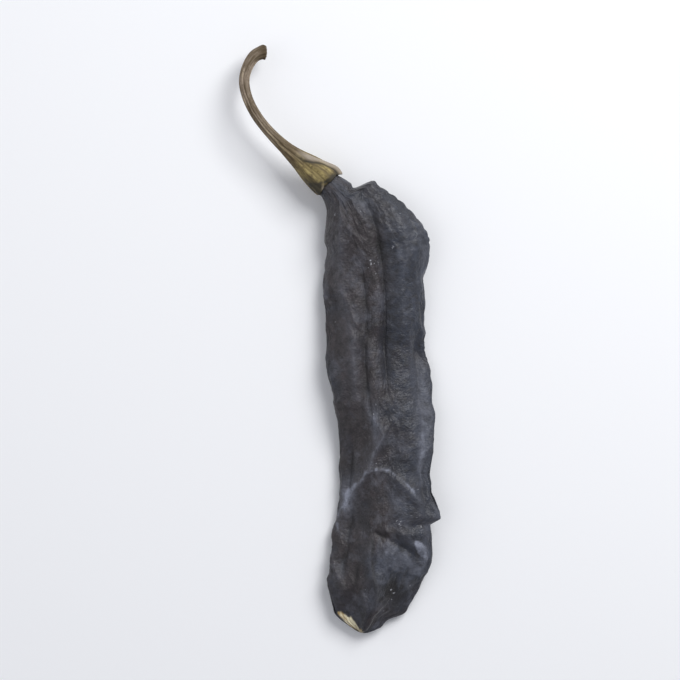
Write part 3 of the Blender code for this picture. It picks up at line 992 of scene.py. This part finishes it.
    # Painted shade in the hollows, and painted shade lines where folds meet
    painted_shade_areas: tuple[Patch, ...] = (Patch(137.5, 0.150, 5.0, 6.0, 0.9), Patch(134.0, 0.060, 3.0, 2.5, 0.6))
    painted_shade_strips: tuple[Strip, ...] = (
        Strip(
            ((6.3, 49.6, 0.3), (8.2, 47.4, 0.4), (10.7, 43.0, 0.4), (12.2, 37.8, 0.4), (13.3, 31.3, 0.2)),
            1.1, 0.8,
        ),
        Strip(
            (
                (11.0, -61.0, 0.4), (10.4, -67.0, 0.9), (10.4, -74.0, 0.9), (11.6, -81.0, 0.9),
                (13.6, -86.0, 0.5),
            ), 1.1, 0.8,
        ),
        Strip(
            (
                (14.0, -63.2, -0.4), (19.0, -64.6, 0.3), (23.6, -67.4, 0.6), (26.6, -71.6, 0.5),
                (28.4, -75.4, 0.3),
            ), 1.1, 0.75,
        ),
    )
    torn_strip: Strip = Strip(
        ((-0.4, -89.6, 0.6), (2.6, -91.8, 1.1), (5.0, -94.3, 0.9), (7.2, -96.3, 0.6)), 2.5
    )
    crest_bloom_and_highlight: float = 0.8
    panel_shade: float = 0.8
    furrow_shade: float = 0.6
    shoulder: float = 14.0
    tip_rounding: float = 4.5
    edge_squash: float = 0.22
    edge_crowding: float = 0.22
    neck_dome: float = 2.6
    neck_gap: float = 0.35
    neck_calm: tuple[float, float] = (1.0, 7.0)
    tip_calm: float = 5.0
    rest_spots: Triples = ((1.2, 25.1, 8.5), (20.7, 3.1, 8.5), (11.2, -57.9, 7.5))
    rest_press: float = 2.4
    nets: tuple[Net, ...] = (Net(2.3, 4.4, 0.24, 3.0), Net(1.0, 1.5, 0.11, 8.0))
    net_bend: float = 1.6
    net_bend_scale: float = 0.45
    net_sharpness: float = 6.0
    net_level: float = 0.35
    net_area: float = 10.5
    net_floor: float = 0.3
    neck_stiffness: float = 24.0
    least_give: float = 0.25
    segments: int = 290
    rings: int = 342
    ring_crowding: float = 0.3
    lean: float = 0.05

    def distance(self, share: Array) -> Array:
        """Distances beyond the rim at shares of the pod's length."""
        start = self.neck_gap - self.neck_dome
        return start + share * (self.skin.length - start)

    def painted_sunk_shade(self, around: Array, distance: Array) -> Array:
        """How much painted shade each place gets from lying deep in the sunken panels and furrows, from 0 to
        1.
        """
        sag = self.panel_shade * self.small_panels.sag(self.skin, around, distance)
        furrows = [fold.line(self.skin, around, distance) ** 2.5 for fold in self.creases if fold.height < 0]
        return np.clip(sag + self.furrow_shade * np.sum(furrows, axis=0), 0, 1)

    def covered(self, areas: tuple[Patch, ...], places: Places) -> Array:
        """How strongly a set of patches covers each place."""
        return np.sum([area.cover(self.skin, places.around, places.distance) for area in areas], axis=0)

    def bloom_and_highlight_share(self, places: Places) -> Array:
        """How pale each place is from bloom and painted highlights on the crests of folds, in listed areas
        and in strips, from 0 to 1.
        """
        lines = [fold.line(self.skin, places.around, places.distance) for fold in self.creases]
        crests = [self.crest_bloom_and_highlight * fold.bloom_and_highlight * line**2 for fold, line in zip(self.creases, lines)]
        crests.append(self.crest_bloom_and_highlight * self.covered(self.bloom_and_highlight_areas, places))
        crests += [strip.cover(self.skin, places) for strip in self.bloom_and_highlight_strips]
        return np.clip(np.sum(crests, axis=0), 0, 1)

    def shaded(self, places: Places) -> Array:
        """How much painted shade each place gets from its depth, from the lines where folds meet and from the
        hollows, from 0 to 1.
        """
        lines = [strip.cover(self.skin, places) for strip in self.painted_shade_strips]
        lines.append(self.covered(self.painted_shade_areas, places))
        return np.clip(self.painted_sunk_shade(places.around, places.distance) + np.sum(lines, axis=0), 0, 1)

    def relief(self, around: Array, distance: Array) -> Array:
        """How far the swell, folds, panels and wrinkles together raise the skin in millimetres."""
        panels = (self.wide_panels, self.small_panels, self.fine_panels)
        forms = (self.swell, *self.creases, *self.dents, *panels, self.pleats, self.neck_wrinkles)
        return sum(form.rise(self.skin, around, distance) for form in forms)

    def edge_stray(self, distance: Array, waves: tuple[Waves, ...]) -> Array:
        """How far an edge strays out from its plain outline."""
        stray = sum(wave.rise(self.skin, np.zeros_like(distance), distance) for wave in waves)
        return stray * np.clip(distance / self.shoulder, 0, 1)

    def points(self, around: Array, share: Array) -> Array:
        """Places the skin in the frame.

        Args:
            around: Turns around the spine.
            share: Shares of the pod's length.

        Returns:
            Points in millimetres.
        """
        keys, *reach = np.array(self.reach).T
        start, end, distance = self.neck_gap - self.neck_dome, keys[-1], self.distance(share)
        right, left, over, under, twist = (smooth_through(keys, values, distance) for values in reach)
        right = right + self.edge_stray(distance, self.right_waves)
        right = right + self.flap.reach(distance) + self.puckers.reach(self.skin, distance)
        left = left + self.edge_stray(distance, self.left_waves)
        from_neck = np.clip((distance - start) / self.neck_dome, 0, 1)
        from_tip = np.clip((end - distance) / self.tip_rounding, 0, 1)
        rounding = np.sqrt(1 - (1 - from_neck) ** 2) * np.sqrt(1 - (1 - from_tip) ** 2)

        # The flattened section, crowded towards its two edges
        angle = 2 * np.pi * around + self.edge_crowding * np.sin(4 * np.pi * around)
        cosine, sine = np.cos(angle), np.sin(angle)
        wide = np.where(cosine > 0, right, left)
        half = np.where(sine > 0, over, under)
        squash = np.where(sine > 0, 1 + self.edge_squash * np.clip(distance / self.shoulder, 0, 1), 1.0)
        x = cosine * wide * rounding
        z = np.sign(sine) * np.abs(sine) ** squash * half * rounding

        # The relief, calmed towards the neck and the tip
        first, reach_in = self.neck_calm
        at_neck = np.clip((distance - first) / reach_in, 0, 1)
        calm = at_neck * np.clip((end - distance) / self.tip_calm, 0, 1) ** 0.5
        height = self.relief(around, np.clip(distance, 0, end)) * calm
        steep = np.hypot(cosine / wide, sine / half)
        x = x + height * cosine / wide / steep
        z = z + height * sine / half / steep

        turn = np.radians(twist)
        x, z = x * np.cos(turn) - z * np.sin(turn), x * np.sin(turn) + z * np.cos(turn)
        point, side, up = self.spine.frames(distance)
        skin = point + side * x[:, None] + up * z[:, None]
        for x_rest, y_rest, radius in self.rest_spots:
            away = np.hypot(skin[:, 0] - x_rest, skin[:, 1] - y_rest) / radius
            skin[:, 2] -= self.rest_press * np.exp(-(away**4)) * (sine < 0)
        skin[:, 2] = np.maximum(skin[:, 2], 0.0)
        return skin

    def wrinkle_tree(self) -> bpy.types.GeometryNodeTree:
        """Builds the tree that lays a net of fine wrinkles over the skin.

        Returns:
            The tree, with the net's width, length, depth, floor and seed as inputs.
        """
        sizes = {"Width": 0.0015, "Length": 0.003, "Depth": 0.0001, "Floor": 0.0}
        tree, start = new_tree("fine_wrinkles", sizes)
        add = partial(add_node, tree)
        width, length, depth, floor, seed = (start.outputs[name] for name in (*sizes, "Seed"))
        place = add("GeometryNodeInputNamedAttribute", {"Name": "skin_place"}, data_type="FLOAT_VECTOR")

        # The net: crests along the borders of cells that are bent and seeded
        size = add("ShaderNodeCombineXYZ", {0: width, 1: width, 2: length})
        cell = add("ShaderNodeVectorMath", {0: place, 1: size}, operation="DIVIDE")
        seeded = add("ShaderNodeVectorMath", {0: cell, 1: seed}, operation="ADD")
        bend = add("ShaderNodeTexNoise", {"Vector": seeded, "Scale": self.net_bend_scale, "Detail": 2.0})
        inputs = {0: bend.outputs["Color"], 1: (self.net_bend,) * 3, 2: seeded}
        shift = add("ShaderNodeVectorMath", inputs, operation="MULTIPLY_ADD")
        border = add("ShaderNodeTexVoronoi", {"Vector": shift, "Scale": 1.0}, feature="DISTANCE_TO_EDGE")
        fall = add("ShaderNodeMath", {0: border, 1: -self.net_sharpness}, operation="MULTIPLY")
        crest = add("ShaderNodeMath", {0: fall}, operation="EXPONENT")
        level = add("ShaderNodeMath", {0: crest, 1: self.net_level}, operation="SUBTRACT")

        # Its strength, which differs from area to area and is less at the stiff neck
        area = add("ShaderNodeTexNoise", {"Vector": place, "Scale": scale_of(self.net_area), "Detail": 1.0})
        strength = add("ShaderNodeMapRange", {"Value": area, 1: 0.35, 2: 0.62, 3: 0.15, 4: 1.0})
        give = add("GeometryNodeInputNamedAttribute", {"Name": "give"}, data_type="FLOAT")
        room = add("ShaderNodeMath", {0: give, 1: strength}, operation="MULTIPLY")
        rise = add("ShaderNodeMath", {0: level, 1: room}, operation="MULTIPLY")
        height = add("ShaderNodeMath", {0: rise, 1: depth}, operation="MULTIPLY")
        above = add("ShaderNodeSeparateXYZ", {0: add("GeometryNodeInputPosition")})
        free = add("FunctionNodeCompare", {0: above.outputs[2], 1: floor}, operation="GREATER_THAN")
        end_tree(tree, start, raised(tree, start.outputs["Geometry"], height, free))
        return tree

    def build(self, finish: PodSkin) -> bpy.types.Object:
        """Makes the pod and dresses it.

        Args:
            finish: The skin's finish.

        Returns:
            The finished piece.
        """
        piece, around, share = lofted(
            "pod_wrinkled", self.points, self.segments, self.rings, self.ring_crowding, self.lean
        )
        distance = np.clip(self.distance(share), 0, self.skin.length)
        places = Places(around, distance, self.points(around, share)[:, :2])
        mark(piece, "skin_place", self.skin.place(around, distance) * MM)
        mark(piece, "give", np.clip(distance / self.neck_stiffness, self.least_give, 1.0))
        # Painted shade, painted highlights, painted sheen and painted glints are marked beside the skin's
        # real tones
        mark(piece, "painted_sunk_shade", self.shaded(places))
        mark(piece, "bloom_and_highlight_share", self.bloom_and_highlight_share(places))
        mark(piece, "torn", self.torn_strip.cover(self.skin, places))
        mark(piece, "painted_cool_sheen", self.covered(self.painted_sheen_areas, places))
        mark(piece, "warm", self.covered(self.warm_areas, places))
        mark(piece, "glint_and_dust", self.covered(self.glint_and_dust_areas, places))
        material, tree = finish.make(), self.wrinkle_tree()
        for net in self.nets:
            sizes = {"Width": net.wide, "Length": net.long, "Depth": net.depth, "Floor": self.net_floor}
            metres = {name: size * MM for name, size in sizes.items()}
            grown(piece, tree, {**metres, "Seed": net.seed, "Material": material})
        return piece


@dataclass
class StemAndCalyx:
    """The stalk with its cut end and the ribbed, flared calyx.

    Each row of radii has a distance back from the rim and the stalk's radius there. Each row of the cut
    end's profile has a distance into the stalk and a share of the end's radius. The fold is a raised line
    along the calyx, with distances and turns as a crease has.
    """

    spine: Spine
    radii: tuple[tuple[float, float], ...] = (
        (57.5, 2.1), (55.5, 1.75), (50.0, 1.4), (43.0, 1.3), (33.0, 1.22), (24.0, 1.35), (17.0, 1.85),
        (12.0, 2.75), (7.5, 3.9), (3.5, 4.6), (0.8, 4.85),
    )
    cut_profile: tuple[tuple[float, float], ...] = ((0.5, 0.0), (0.0, 0.55), (0.15, 0.93))
    angularity: float = 0.03
    calyx_length: float = 17.0
    corners: int = 5
    corner_angle: float = 0.6
    corner_height: float = 0.025
    teeth: float = 0.45
    flatness: float = 0.88
    lip: tuple[float, float] = (0.2, 4.7)
    fold: tuple[tuple[float, float], ...] = ((-15.0, 0.140), (-9.0, 0.120), (-5.4, 0.050), (0.2, 0.010))
    fold_width: float = 1.1
    fold_height: float = 0.5
    fold_fade: float = 5.0
    # The painted shadow line beside the fold
    fold_shadow_offset: float = 1.7
    fold_shadow_width: float = 0.45
    neck_radius: float = 4.2
    neck_dome: float = 2.6
    neck_gap: float = 0.35
    dome_angle: float = 1.25
    dome_steps: int = 6
    skin: Skin = field(default_factory=lambda: Skin(30.0, 17.0))
    rim_wear: Waves = Waves(1.9, 0.7, 81)
    rim_length: float = 3.0
    knob: Patch = Patch(-1.4, 0.030, 1.5, 1.5, 0.55)
    knob_turn: float = 0.055
    knob_wide: float = 0.05
    knob_reach: float = 1.3
    # Patches of olive painted shade on the calyx's shaded side
    calyx_shade_patches: tuple[Patch, ...] = (
        Patch(-0.8, 0.390, 3.2, 3.6, 1.0), Patch(0.2, 0.180, 1.4, 3.0, 0.7),
        Patch(-6.0, 0.430, 4.0, 2.0, 0.5),
    )
    calyx_shade_waves: Waves = Waves(1.1, 0.6, 83)
    calyx_shade_level: float = 0.8
    calyx_shade_gain: float = 1.5
    calyx_shade_strength: float = 0.95
    fold_gain: float = 1.2
    fold_paleness: float = 0.8
    end_fade: float = 0.6
    pith_level: float = 1.4
    pith_radius: float = 1.6
    pale_tooth: Patch = Patch(0.2, 0.330, 0.9, 0.9, 0.9)
    pattern_radius: tuple[float, float] = (1.6, 0.35)
    cut_band: float = 0.35
    ribs: float = 10.0
    rib_height: float = 0.3
    rib_sway: float = 3.0
    sway_size: float = 8.3
    fibre_height: float = 0.3
    fibre_size: float = 1.1
    fibre_draw: tuple[float, float, float] = (1.0, 1.0, 0.07)
    seed: float = 4.0
    segments: int = 150
    rings: int = 320
    ring_crowding: float = 0.2

    def from_fold(self, around: Array, distance: Array, radius: Array) -> Array:
        """Distances round the calyx from its fold, in millimetres."""
        keys, turns = np.array(self.fold).T
        return short_way(around, smooth_through(keys, turns, distance)) * 2 * np.pi * radius

    def fold_share(self, distance: Array) -> Array:
        """How far the fold has grown from its start up the stalk, from 0 to 1."""
        return np.clip((distance - self.fold[0][0]) / self.fold_fade, 0, 1)

    def fold_line(self, around: Array, distance: Array, radius: Array) -> Array:
        """How near the fold's crest each place lies, from 0 to 1."""
        away = self.from_fold(around, distance, radius) / self.fold_width
        return self.fold_share(distance) * np.exp(-(away**2))

    def outline(self, share: Array) -> tuple[Array, Array, Array]:
        """Reads the turned outline from the cut end over the lip into the neck's hollow.

        Args:
            share: Shares of the outline's length.

        Returns:
            Distances beyond the rim, radii, and whether each place is outside the hollow.
        """
        back, radii = np.array(self.radii).T
        cut = [(-back[0] + past, wide * radii[0]) for past, wide in self.cut_profile]
        inner = self.neck_radius + self.neck_gap
        angles = np.linspace(self.dome_angle, 0.0, self.dome_steps)
        dome = [(-self.neck_dome * np.cos(a), inner * np.sin(a)) for a in angles]
        line = np.array([*cut, *zip(-back[1:], radii[1:]), self.lip, *dome])
        keys = lengths_to(line)
        distance, radius = smooth_through(keys, line, share * keys[-1]).T
        return distance, np.maximum(radius, 0.0), share * keys[-1] < keys[len(cut) + len(back) - 1]

    def points(self, around: Array, share: Array) -> Array:
        """Places the stalk's skin in the frame.

        Args:
            around: Turns around the spine.
            share: Shares of the outline's length.

        Returns:
            Points in millimetres.
        """
        distance, radius, outside = self.outline(share)
        into_calyx = np.clip(1 + distance / self.calyx_length, 0, 1)
        corners = np.cos(2 * np.pi * self.corners * around + self.corner_angle) * outside
        radius = radius * (1 + (self.angularity + self.corner_height * into_calyx) * corners)
        radius = radius + self.fold_height * self.fold_line(around, distance, radius) * outside
        radius = radius + self.knob.cover(self.skin, around, distance) * outside
        wear = self.rim_wear.rise(self.skin, around, np.zeros_like(distance))
        worn = self.teeth * corners + wear * outside
        knob = (short_way(around, self.knob_turn) / self.knob_wide) ** 2
        worn = worn + self.knob_reach * np.exp(-knob) * outside
        distance = distance + worn * np.clip(1 + distance / self.rim_length, 0, 1)
        flat = 1 - (1 - self.flatness) * into_calyx
        point, side, up = self.spine.frames(distance)
        turn = 2 * np.pi * around
        x, z = radius * np.cos(turn), radius * np.sin(turn) * flat
        return point + side * x[:, None] + up * z[:, None]

    def fibre_tree(self) -> bpy.types.GeometryNodeTree:
        """Builds the tree that raises ribs and fibres along the stalk.

        Returns:
            The tree, with the rib count, heights and seed as inputs. It stores the groove attribute.
        """
        sizes = {"Ribs": 10.0, "Rib Height": 0.0002, "Fibre Height": 0.0001}
        tree, start = new_tree("ribs_and_fibres", sizes)
        add = partial(add_node, tree)
        ribs, rib_height, fibre_height, seed = (start.outputs[name] for name in (*sizes, "Seed"))
        place = add("GeometryNodeInputNamedAttribute", {"Name": "stem_place"}, data_type="FLOAT_VECTOR")
        around = add("GeometryNodeInputNamedAttribute", {"Name": "turns"}, data_type="FLOAT")
        outer = add("GeometryNodeInputNamedAttribute", {"Name": "outer"}, data_type="FLOAT")
        seeded = add("ShaderNodeVectorMath", {0: place, 1: seed}, operation="ADD")

        # Swaying ribs, with fibres on them
        sway = add("ShaderNodeTexNoise", {"Vector": seeded, "Scale": scale_of(self.sway_size), "Detail": 1.0})
        wobble = add("ShaderNodeMath", {0: sway, 1: self.rib_sway}, operation="MULTIPLY")
        angle = add("ShaderNodeMath", {0: around, 1: ribs}, operation="MULTIPLY")
        phase = add("ShaderNodeMath", {0: angle, 1: np.pi, 2: wobble}, operation="MULTIPLY_ADD")
        wave = add("ShaderNodeMath", {0: phase}, operation="SINE")
        ridge = add("ShaderNodeMath", {0: wave}, operation="ABSOLUTE")
        rib = add("ShaderNodeMath", {0: ridge, 1: rib_height}, operation="MULTIPLY")
        thread = add("ShaderNodeVectorMath", {0: seeded, 1: self.fibre_draw}, operation="MULTIPLY")
        inputs = {"Vector": thread, "Scale": scale_of(self.fibre_size), "Detail": 3.0}
        fibres = add("ShaderNodeTexNoise", inputs)
        fine = add("ShaderNodeMath", {0: fibres, 1: fibre_height, 2: rib}, operation="MULTIPLY_ADD")
        height = add("ShaderNodeMath", {0: fine, 1: outer}, operation="MULTIPLY")
        moved = raised(tree, start.outputs["Geometry"], height)

        # The grooves between the ribs, which the finish darkens as painted shade
        low = add("ShaderNodeMapRange", {"Value": ridge, 1: 0.0, 2: 0.45, 3: 0.55, 4: 0.0})
        inputs = {"Geometry": moved, "Name": "groove", "Value": low}
        kept = add("GeometryNodeStoreNamedAttribute", inputs, data_type="FLOAT", domain="POINT")
        end_tree(tree, start, kept)
        return tree

    def build(self, finish: DryStem) -> bpy.types.Object:
        """Makes the stalk and dresses it.

        Args:
            finish: The stalk's finish.

        Returns:
            The finished piece.
        """
        piece, around, share = lofted(
            "stem_with_calyx", self.points, self.segments, self.rings, self.ring_crowding
        )
        distance, radius, outside = self.outline(share)
        turn, length = 2 * np.pi * around, self.radii[0][0]
        least, share_of_radius = self.pattern_radius
        fixed = least + share_of_radius * radius
        tube = np.stack([fixed * np.cos(turn), fixed * np.sin(turn), distance], axis=-1)
        mark(piece, "stem_place", tube * MM)
        mark(piece, "turns", around)
        mark(piece, "outer", outside * np.clip((distance + length) / self.end_fade, 0, 1))
        mark(piece, "down_stem", np.clip(1 + distance / length, 0, 1))
        # The fold is paler in colour and also carries a painted highlight
        fold = self.fold_line(around, distance, radius) * outside
        off_fold_shadow = (self.from_fold(around, distance, radius) - self.fold_shadow_offset) / self.fold_shadow_width
        fold_shadow = np.exp(-(off_fold_shadow**2)) * self.fold_share(distance) * outside
        # Painted shade on one side of the calyx, and a painted shadow line beside the fold
        calyx_shade_cover = np.sum([s.cover(self.skin, around, distance) for s in self.calyx_shade_patches], axis=0)
        tooth = self.pale_tooth.cover(self.skin, around, distance)
        mark(piece, "pale_fold_and_highlight", np.clip(self.fold_gain * fold + tooth, 0, 1) * self.fold_paleness)
        patchy = self.calyx_shade_level + self.calyx_shade_waves.rise(self.skin, around, distance + self.calyx_length)
        painted_calyx_shade = np.clip(self.calyx_shade_gain * calyx_shade_cover * patchy * (1 - tooth) + fold_shadow, 0, 1)
        mark(piece, "painted_calyx_shade", painted_calyx_shade * self.calyx_shade_strength)
        pith = np.clip(self.pith_level - radius / self.pith_radius, 0, 1)
        mark(piece, "cut", (distance < self.cut_band - length) * pith)
        heights = {"Rib Height": self.rib_height * MM, "Fibre Height": self.fibre_height * MM}
        values = {"Ribs": self.ribs, **heights, "Seed": self.seed, "Material": finish.make()}
        return grown(piece, self.fibre_tree(), values)


@dataclass(frozen=True)
class Softbox:
    """A square soft light that faces the pepper: its place and side in metres, and its power in watts."""

    name: str
    place: tuple[float, float, float]
    size: float
    power: float

    def hang(self) -> None:
        """Makes the light."""
        light = bpy.data.lights.new(self.name, "AREA")
        light.size = self.size
        light.energy = self.power
        box = bpy.data.objects.new(self.name, light)
        box.location = self.place
        box.rotation_euler = (-Vector(self.place)).to_track_quat("-Z", "Y").to_euler()
        bpy.context.scene.collection.objects.link(box)


@dataclass
class Studio:
    """A pale table, soft light from the upper right and a camera straight above, in metres."""

    camera_height: float = 0.75
    lens: float = 120.0
    table_size: float = 6.0
    key: Softbox = Softbox("key_softbox", (0.42, 0.5, 0.66), 0.55, 7.4)
    fill: Softbox = Softbox("fill_softbox", (-0.6, 0.0, 0.6), 0.9, 1.6)
    sky: str = "#f4f6ff"
    sky_strength: float = 0.36

    def floor(self, finish: PaleTable) -> None:
        """Makes the table's top."""
        half = self.table_size / 2
        corners = [(-half, -half, 0), (half, -half, 0), (half, half, 0), (-half, half, 0)]
        mesh = bpy.data.meshes.new("table_top")
        mesh.from_pydata(corners, [], [(0, 1, 2, 3)])
        mesh.materials.append(finish.make())
        top = bpy.data.objects.new("table_top", mesh)
        bpy.context.scene.collection.objects.link(top)

    def build(self) -> None:
        """Makes the table, lights, surroundings and camera."""
        self.floor(PaleTable())
        self.key.hang()
        self.fill.hang()
        scene = bpy.context.scene
        world = bpy.data.worlds.new("even_studio")
        world.use_nodes = True
        background = world.node_tree.nodes["Background"]
        background.inputs["Color"].default_value = linear(self.sky)
        background.inputs["Strength"].default_value = self.sky_strength
        scene.world = world
        scene.view_settings.view_transform = "Standard"
        camera = bpy.data.cameras.new("overhead_camera")
        camera.lens = self.lens
        above = bpy.data.objects.new("overhead_camera", camera)
        above.location = (0.0, 0.0, self.camera_height)
        scene.collection.objects.link(above)
        scene.camera = above


def main() -> None:
    """Builds the pepper around the frame and the studio round it."""
    logging.basicConfig(level=logging.INFO, format="%(name)s: %(message)s")
    spine = Spine()
    pieces = [
        (Pod(spine).build(PodSkin()), "pod", Slot.SKIN),
        (StemAndCalyx(spine).build(DryStem()), "stem_and_calyx", Slot.STEM),
    ]
    for piece, node, slot in pieces:
        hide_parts(node)
        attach(piece, "root")
        LOG.info("%s: %d faces, stands for %s", piece.name, len(piece.data.polygons), node)
    Studio().build()


if __name__ == "__main__":
    main()
